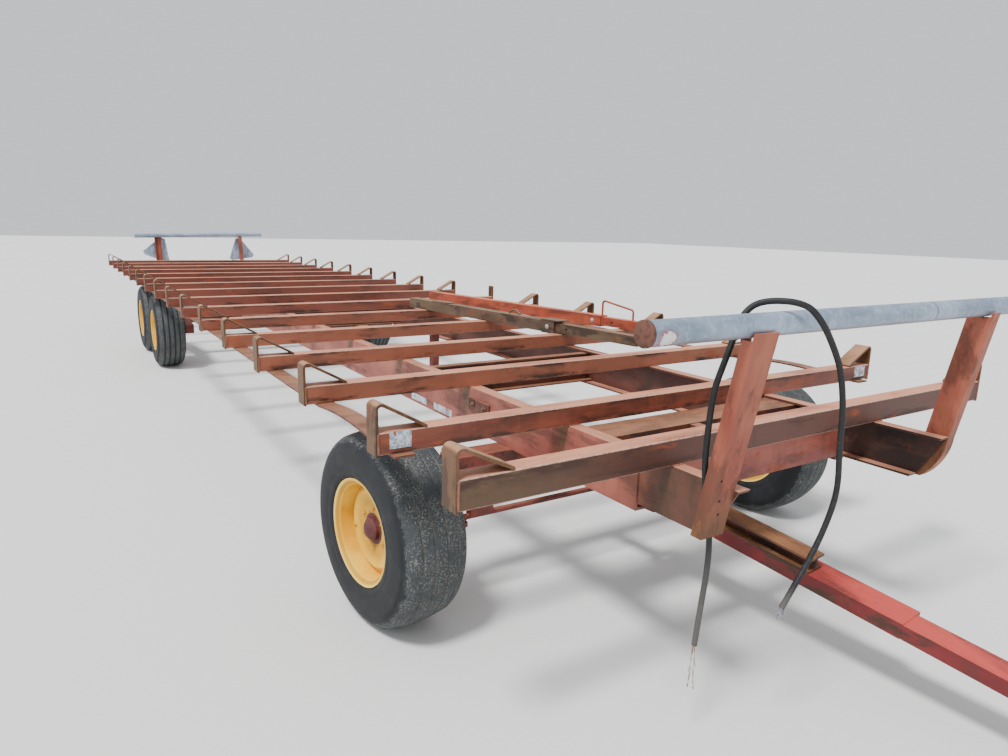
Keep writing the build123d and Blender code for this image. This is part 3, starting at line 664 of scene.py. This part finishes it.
def hubFinish(name):
    finish = Finish(name)
    wash = finish.noise(24, 4, 0.6)
    speck = finish.noise(140, 3, 0.6, seed=3.3)
    colour = finish.mix(hubStyle["paint"], hubStyle["faded"], wash.smooth(0.4, 0.7))
    colour = finish.mix(colour, hubStyle["dark"], speck.smooth(0.55, 0.7) * 0.6)
    return finish.close(colour, 0.5 + wash * 0.3, speck, 0.0005)


tyreStyle = {
    "wall": srgb(25, 27, 31), "wallDust": srgb(52, 54, 55), "tread": srgb(54, 58, 61),
    "treadDust": srgb(120, 120, 112), "groove": srgb(34, 35, 37), "grooveDust": srgb(104, 102, 94),
}


def tyreFinish(name, grooveFill):
    finish = Finish(name)
    tread = finish.attribute("treadShare")
    groove = finish.attribute("grooveShare")
    fleck = finish.noise(150, 5, 0.7, seed=2.7)
    patch = finish.noise(14, 4, 0.6)
    ragged = (tread + (finish.noise(34, 5, 0.75, seed=9.1) - 0.5) * 1.6).smooth(0.4, 0.62)
    wall = finish.mix(tyreStyle["wall"], tyreStyle["wallDust"], patch.smooth(0.45, 0.75) * 0.35)
    dusty = fleck.smooth(0.5, 0.62) * patch.smooth(0.3, 0.6)
    crown = finish.mix(tyreStyle["tread"], tyreStyle["treadDust"], dusty)
    colour = finish.mix(wall, crown, ragged)
    colour = finish.mix(colour, grooveFill, groove * (0.3 + patch.smooth(0.35, 0.6) * 0.6))
    return finish.close(colour, 0.74 + fleck * 0.15, fleck * 0.7 + patch * 0.2, 0.0016)


tyreShapes = {
    # kind: half the width, shoulder notches' depth, fill of the grooves, grooves (place, width, depth)
    "front": {
        "half": 0.145, "notch": 0.0, "fill": tyreStyle["grooveDust"],
        "grooves": (
            (-0.076, 0.004, 0.003), (-0.028, 0.005, 0.004), (0.028, 0.005, 0.004), (0.076, 0.004, 0.003),
        ),
    },
    "rear": {
        "half": 0.140, "notch": 0.003, "fill": tyreStyle["groove"],
        "grooves": (
            (-0.072, 0.011, 0.009), (-0.025, 0.012, 0.010), (0.025, 0.012, 0.010), (0.072, 0.011, 0.009),
        ),
    },
}
tyreSection = {
    # Bead to shoulder, as the distance in from the tyre's side and the radius
    "wall": (
        (0.032, 0.197), (0.024, 0.209), (0.017, 0.2165), (0.009, 0.2185), (0.004, 0.230), (0.001, 0.245),
        (0.0022, 0.247), (0, 0.252), (-0.001, 0.280), (0, 0.302), (0.003, 0.322), (0.0065, 0.336),
        (0.0085, 0.3365), (0.013, 0.350), (0.021, 0.3625), (0.031, 0.3725), (0.044, 0.3795),
    ),
    "crownDrop": 0.0105,  # what the crown's radius loses at its edges
    "treadFrom": 0.335, "treadFade": 0.04,  # where the tread's look starts on the shoulder
    "steps": 200, "wander": 0.0012, "waves": 23, "notches": 60,  # round the tyre
}


def tyreProfile(half, radius, grooves):
    # A section from bead to bead: two sidewalls of straight lines, shaded smooth, and between them a crown.
    # Its radius falls with the square of the distance from the middle, and the grooves cut it.
    wall = np.array([(half - inward, height) for inward, height in tyreSection["wall"]])
    edge = wall[-1, 0]
    stops = set(np.linspace(-edge, edge, 25)[1:-1].round(4))
    for place, width, _ in grooves:
        stops = {stop for stop in stops if abs(stop - place) > width * 0.9}
        stops |= {place + width * share for share in (-0.62, -0.5, 0, 0.5, 0.62)}
    across = np.array(sorted(stops))
    crown = radius - tyreSection["crownDrop"] * (across / edge) ** 2
    inGroove = np.zeros_like(across)
    for place, width, depth in grooves:
        inside = np.abs(across - place) <= width * 0.52
        crown = np.where(inside, crown - depth, crown)
        inGroove = np.where(inside, 1.0, inGroove)
    profile = np.concatenate((wall * (-1, 1), np.stack((across, crown), -1), wall[::-1]))
    plain = np.zeros(len(wall))
    groove = np.concatenate((plain, inGroove, plain))
    shoulder = np.clip((wall[:, 1] - tyreSection["treadFrom"]) / tyreSection["treadFade"], 0, 1)
    tread = np.concatenate((shoulder, np.ones(len(across)), shoulder[::-1]))
    return profile, groove, tread


def addTyre(wheel, kind, material):
    # Section carried round the axle: centre + axis * across + (forward * cos + up * sin) * radius. The grooves
    # wander with a sine of the turn, and the shoulders are notched where a quicker sine is high.
    joint = joints[f"{wheel}_spin"]
    centre, axis = np.array(joint["pos_m"]), np.array(joint["axis"])
    low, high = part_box(f"tyre_{wheel}")
    shape, steps = tyreShapes[kind], tyreSection["steps"]
    profile, groove, tread = tyreProfile(shape["half"], (high.z - low.z) / 2, shape["grooves"])
    turn = np.linspace(0, 2 * np.pi, steps, endpoint=False)[:, None]
    forward = np.cross(axis, (0, 0, 1))
    wander = tyreSection["wander"] * np.sin(turn * tyreSection["waves"]) * groove[None, :]
    shoulder = ((tread > 0.3) & (tread < 0.99))[None, :]
    notch = shape["notch"] * (np.sin(turn * tyreSection["notches"]) > 0.2) * shoulder
    across = profile[None, :, 0] + wander
    reach = profile[None, :, 1] - notch
    ray = forward * np.cos(turn)[..., None] + np.array((0, 0, 1)) * np.sin(turn)[..., None]
    points = centre + axis * across[..., None] + ray * reach[..., None]
    faces = gridFaces(steps, len(profile), wrapRows=True)
    name = "tyre" + "".join(word.capitalize() for word in wheel.split("_"))
    tyre = linkMesh(name, points, faces)
    for attribute, values in (("treadShare", tread), ("grooveShare", groove)):
        layer = tyre.data.attributes.new(attribute, "FLOAT", "POINT")
        layer.data.foreach_set("value", np.tile(values, steps).astype(np.float32))
    dress(tyre, f"wheel_{wheel}", material)
    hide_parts(f"tyre_{wheel}")


wheels = ("front_left", "front_right", "middle_left", "middle_right", "rear_left", "rear_right")
tyreMaterials = {kind: tyreFinish(kind + "Rubber", shape["fill"]) for kind, shape in tyreShapes.items()}
for wheel in wheels:
    kind = "front" if wheel.startswith("front") else "rear"
    addTyre(wheel, kind, tyreMaterials[kind])
print("tyres made")

# CAD nodes and their finishes
zincPlain = zincFinish("zincPipe", 1.0, True)
nodeFinishes = {
    # how a node's name starts: its finish
    "crossbar": paints["barPaint"], "rail": paints["railPaint"], "nose_left": paints["railPaint"],
    "nose_right": paints["railPaint"], "nose_c": paints["memberPaint"], "front_post": paints["postPaint"],
    "rear_post": paints["postPaint"], "bale_stops": paints["stopPaint"], "side_strap": paints["memberPaint"],
    "front_cross_plate": paints["platePaint"], "crossmembers": paints["memberPaint"],
    "centre_hanger": paints["underPaint"], "front_axle": paints["underPaint"],
    "rear_axle": paints["underPaint"], "knuckle": paints["underPaint"], "tie_rod": paints["underPaint"],
    "tongue_swing": paints["underPaint"], "walking_beam": paints["underPaint"],
    "tongue_tube": paints["tonguePaint"], "tongue_slip": paints["tonguePaint"],
    "hitch_clevis": paints["tonguePaint"], "tongue_channel": paints["bracePaint"],
    "pole_far": paints["orangePaint"], "pole_near": paints["poleRust"], "pole_handle": paints["orangePaint"],
    "front_pipe": zincPlain, "rear_pipe": zincPlain, "blank_plates": zincFinish("zincPlate", 1.7),
    "hub": hubFinish("hubPaint"),
}
for name, node in nodes.items():
    if name.startswith("rim_"):
        material = rimFinish(name + "Paint", joints[name[4:] + "_spin"])
    else:
        matches = [finish for start, finish in nodeFinishes.items() if name.startswith(start)]
        if not matches:
            continue
        material = matches[0]
    for place in node.material_slots:
        place.material = material
print("CAD nodes finished")


# Welds: a rippled bead along each joint of bars, rails and stops
weldStyle = {
    "radius": 0.0045, "ripple": 0.22, "pitch": 0.006,
    "paint": srgb(120, 72, 58), "worn": srgb(150, 98, 78),
}
weldPlaces = {
    # Across the wagon: outer faces of rail and nose, a bead's length there, bar ends, the stops' feet
    "rail": 0.600, "nose": 0.592, "railBead": 0.048, "barEnd": 1.3702, "stopFoot": 1.2015,
    "frontRise": 0.014, "frontHeight": 0.090,  # the front bar stands higher than the others, and is deeper
    "lostLeg": (1, 6),  # side and number of the bar whose stop has no sloped leg
}


def weldFinish():
    finish = Finish("weldBead")
    stain = finish.noise(50, 4, 0.6)
    colour = finish.mix(weldStyle["paint"], weldStyle["worn"], stain.smooth(0.4, 0.65))
    return finish.close(colour, 0.7 + stain * 0.1, stain, 0.0006)


def bead(batch, start, end):
    # Radius times one plus a ripple that follows the sine of the travelled length
    start, end = np.array(start, float), np.array(end, float)
    length = np.linalg.norm(end - start)
    travel = np.linspace(0, 1, max(6, int(length / weldStyle["pitch"] * 2)))
    ripple = 1 + weldStyle["ripple"] * np.sin(travel * length / weldStyle["pitch"] * 2 * np.pi)
    batch.tube(start + (end - start) * travel[:, None], weldStyle["radius"] * ripple, 6)


def addWelds():
    batch = Batch()
    half = barSize / 2
    for number, x in enumerate(barsX):
        outer, top, low = weldPlaces["rail"], deckTop, barBottom
        if number == 0:
            outer, top = weldPlaces["nose"], deckTop + weldPlaces["frontRise"]
            low = top - weldPlaces["frontHeight"]
        for side in (-1, 1):
            inner = side * (outer - weldPlaces["railBead"])
            endY, footY = side * weldPlaces["barEnd"], side * weldPlaces["stopFoot"]
            for edge in (-half, half):
                bead(batch, (x + edge, inner, barBottom), (x + edge, side * outer, barBottom))
            for edge in (-half, half):
                bead(batch, (x + edge * 0.97, endY, low + 0.004), (x + edge * 0.97, endY, top - 0.003))
            if (side, number) != weldPlaces["lostLeg"]:
                reach = half * 0.94
                bead(batch, (x - reach, footY, top + 0.001), (x + reach, footY, top + 0.001))
    return batch.make("welds", "frame", "frame_red", weldFinish())


addWelds()


# Wheel nuts and bolts
def boltFinish(name, clean, rusty):
    finish = Finish(name)
    stain = finish.noise(70, 4, 0.6)
    colour = finish.mix(clean, rusty, stain.smooth(0.45, 0.65))
    return finish.close(colour, 0.45 + stain * 0.35, stain, 0.0004, metallic=0.3)


def bolt(batch, base, away, across, radius, height):
    # A washer, a six-sided head and the end of its thread, sized by the radius and height
    base, away = np.array(base, float), np.array(away, float)
    batch.prism(ngon(20, radius * 1.55), base, base + away * height * 0.3, across, 0.0005)
    batch.prism(ngon(6, radius * 1.15), base + away * height * 0.3, base + away * height * 1.3, across, 0.001)
    batch.prism(ngon(12, radius * 0.5), base + away * height * 1.3, base + away * height * 1.9, across, 0.0008)


nutStyle = {
    # From the wheel's middle: how far out along the axle, and how far from the axle line
    "count": 6, "out": 0.066, "circle": 0.082, "radius": 0.0075, "height": 0.006,
    "clean": srgb(214, 160, 56), "rusty": srgb(186, 132, 48),
}


def addWheelNuts(style):
    rusty = boltFinish("wheelNut", style["clean"], style["rusty"])
    for wheel in wheels:
        joint = joints[f"{wheel}_spin"]
        centre, axis = np.array(joint["pos_m"]), np.array(joint["axis"])
        outward = axis * (1 if wheel.endswith("left") else -1)
        forward = np.cross(axis, (0, 0, 1))
        batch = Batch()
        for number in range(style["count"]):
            angle = math.radians(360 / style["count"] * number + 30)
            ray = forward * math.cos(angle) + np.array((0, 0, 1)) * math.sin(angle)
            base = centre + outward * style["out"] + ray * style["circle"]
            bolt(batch, base, outward, ray, style["radius"], style["height"])
        name = "wheelNuts" + "".join(word.capitalize() for word in wheel.split("_"))
        batch.make(name, f"wheel_{wheel}", "rim_yellow", rusty, smooth=False)


addWheelNuts(nutStyle)
print("welds and nuts added")

# Both ends of the front pipe: rusty caps with their edges cut back
capStyle = {
    "radius": 0.0345, "depth": 0.012, "proud": 0.0006, "bevel": 0.002,
    "clean": srgb(108, 68, 54), "rusty": srgb(82, 54, 43),
}


def addPipeCaps(style):
    batch = Batch()
    low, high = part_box("front_pipe")
    x, z = (low.x + high.x) / 2, (low.z + high.z) / 2
    for y, way in ((low.y, -1), (high.y, 1)):
        start, end = (x, y - way * style["depth"], z), (x, y + way * style["proud"], z)
        batch.prism(ngon(40, style["radius"]), start, end, (1, 0, 0), style["bevel"])
    batch.make("pipeCaps", "frame", "galvanised", boltFinish("capRust", style["clean"], style["rusty"]))


addPipeCaps(capStyle)


# Bare sticker patches: pale film, peeled at its edges
stickerStyle = {
    "film": srgb(206, 212, 218), "scraped": srgb(132, 146, 164), "paint": srgb(150, 78, 62), "thick": 0.0006,
    # On the second bar: across the wagon and width. On the near rail: along the wagon and width.
    "bar": ((-1.293, 0.078), (1.295, 0.090)), "barHeight": 0.058,
    "rail": ((-1.79, 0.18), (-1.52, 0.19)), "railHeight": 0.034,
}


def stickerFinish(style):
    finish = Finish("bareSticker")
    scrape = finish.noise(42, 5, 0.7).smooth(0.44, 0.56)
    colour = finish.mix(style["film"], style["scraped"], scrape)
    colour = finish.mix(colour, style["paint"], finish.noise(26, 4, 0.7, seed=7.7).smooth(0.58, 0.64))
    return finish.close(colour, 0.5, scrape, 0.0003)


def addStickers(style):
    batch = Batch()
    for y, width in style["bar"]:
        middle = spot(-firstBay + barSize / 2, y, -0.029)
        outside = middle + Vector((style["thick"], 0, 0))
        batch.prism(rectangle(style["barHeight"], width), middle, outside, (0, 0, 1), 0.0002)
    for x, width in style["rail"]:
        middle = spot(x, -0.600, -0.249)
        outside = middle + Vector((0, -style["thick"], 0))
        batch.prism(rectangle(width, style["railHeight"]), middle, outside, (1, 0, 0), 0.0002)
    batch.make("bareStickers", "frame", "frame_red", stickerFinish(style), smooth=False)


addStickers(stickerStyle)
print("caps and stickers added")

# Small parts on the two stowed poles. Rear and front are a pole's ends, from the front bar and middle line.
# The other places are distances from its rear end, and outer and inner are its two sections' widths.
poleTrims = {
    "near": {
        "rear": (-3.750, 0.300), "front": (-1.400, 0.600), "outer": 0.074, "inner": 0.058,
        "collar": (1.585, 1.702), "bolt": 1.640, "holes": (1.800,), "tab": (0.330, 0.530), "scrap": 1.220,
    },
    "far": {
        "rear": (-4.200, 0.700), "front": (-1.750, 1.080), "outer": 0.074, "inner": 0.058,
        "bolt": 1.950, "holes": (2.120,),
    },
}


def addPoleTrims(name, trim):
    rear, front = np.array((*trim["rear"], 0)), np.array((*trim["front"], 0))
    along = (front - rear) / np.linalg.norm(front - rear)
    aside = np.array((along[1], -along[0], 0))
    up = np.array((0, 0, 1.0))

    def place(travel, out=0.0, height=0.037):
        return np.array(spot(*(rear + along * travel + aside * out + up * height)))

    steel, bright, holeDiscs = Batch(), Batch(), Batch()
    half = trim["outer"] / 2
    if "collar" in trim:
        start, end = trim["collar"]
        steel.prism(rectangle(0.083, 0.083), place(start), place(end), aside, 0.002)
        strip = place(start - 0.01, 0, 0.0815), place(end + 0.045, 0, 0.0815)
        steel.prism(rectangle(0.092, 0.006), *strip, aside, 0.001)
    if "tab" in trim:
        start, end = trim["tab"]
        strip = place(start, 0.006, 0.0775), place(end, -0.004, 0.0775)
        steel.prism(rectangle(0.070, 0.007), *strip, aside, 0.001)
    if "scrap" in trim:
        # A bent strip: its middle stands up from the pole's top in half a sine
        path = [
            place(trim["scrap"] + 0.11 * part, 0.004, 0.074 + 0.006 + 0.024 * math.sin(math.pi * part))
            for part in np.linspace(0, 1, 9)
        ]
        steel.tube(path, 0.006, 8)
    proud = 0.0415 if "collar" in trim else half
    bolt(bright, place(trim["bolt"], proud), aside, up, 0.010, 0.006)
    for travel in trim["holes"]:
        face = trim["inner"] / 2
        # The pole's holes are dark discs of painted shade
        holeDiscs.prism(ngon(20, 0.008), place(travel, face - 0.002), place(travel, face + 0.0004), up, 0.0001)
    steelFinish = paints["orangePaint"] if name == "far" else paints["poleRust"]
    if steel.points:
        steel.make(f"{name}PoleTrims", "frame", "pole_rust", steelFinish, smooth=False)
    brightFinish = boltFinish(f"{name}Bolt", srgb(196, 190, 182), srgb(140, 112, 92))
    bright.make(f"{name}PoleBolt", "frame", "pole_rust", brightFinish)
    holeDiscs.make(f"{name}PoleHoles", "frame", "pole_rust", paintedHoleShade, smooth=False)


def holeFinish():
    # Painted shade for holes: a near-black colour on discs, for the shadow inside a hole
    finish = Finish("paintedHoleShade")
    paintedShade = finish.noise(90, 3)
    return finish.close(finish.mix(srgb(24, 18, 15), srgb(44, 32, 25), paintedShade), 0.95, paintedShade, 0.0002)


paintedHoleShade = holeFinish()
for name, trim in poleTrims.items():
    addPoleTrims(name, trim)


# Bolted bracket on the near rail's web, and drilled holes in the near post, drawn as dark discs of painted
# shade
frameTrims = {
    "bracket": {"x": (-1.245, -1.065), "y": -0.600, "z": (-0.179, -0.124), "thick": 0.008},
    "bolts": (-1.205, -1.105),
    "postHoles": ((-0.664, -0.031), (-0.650, -0.098), (-0.640, -0.144)),  # across, and up from the deck
    # The post's front face at its foot: along the wagon, up from the deck, and its lean per metre
    "postFace": (0.2493, -0.254, 0.198),
}


def addFrameTrims(trim):
    steel, bolts, holes = Batch(), Batch(), Batch()
    (rear, front), (low, high) = trim["bracket"]["x"], trim["bracket"]["z"]
    y, thick = trim["bracket"]["y"], trim["bracket"]["thick"]
    level = (low + high) / 2
    middle = spot((rear + front) / 2, y, level)
    outward = Vector((0, -1, 0))
    plate = rectangle(front - rear, high - low)
    steel.prism(plate, middle, middle + outward * thick, (1, 0, 0), 0.001)
    for x in trim["bolts"]:
        bolt(bolts, spot(x, y - thick, level), outward, (0, 0, 1), 0.010, 0.007)
    foot, footHeight, lean = trim["postFace"]
    ahead = np.array((1, 0, -lean)) / math.hypot(1, lean)
    for across, height in trim["postHoles"]:
        face = np.array(spot(foot + (height - footHeight) * lean, across, height))
        holes.prism(ngon(18, 0.0045), face - ahead * 0.002, face + ahead * 0.0004, (0, 1, 0), 0.0001)
    holes.make("postHoles", "frame", "frame_red", paintedHoleShade, smooth=False)
    steel.make("railBracket", "frame", "frame_red", paints["memberPaint"], smooth=False)
    rusty = boltFinish("bracketBolt", srgb(128, 92, 74), srgb(84, 56, 42))
    bolts.make("bracketBolts", "frame", "frame_red", rusty)


addFrameTrims(frameTrims)
print("small trims added")
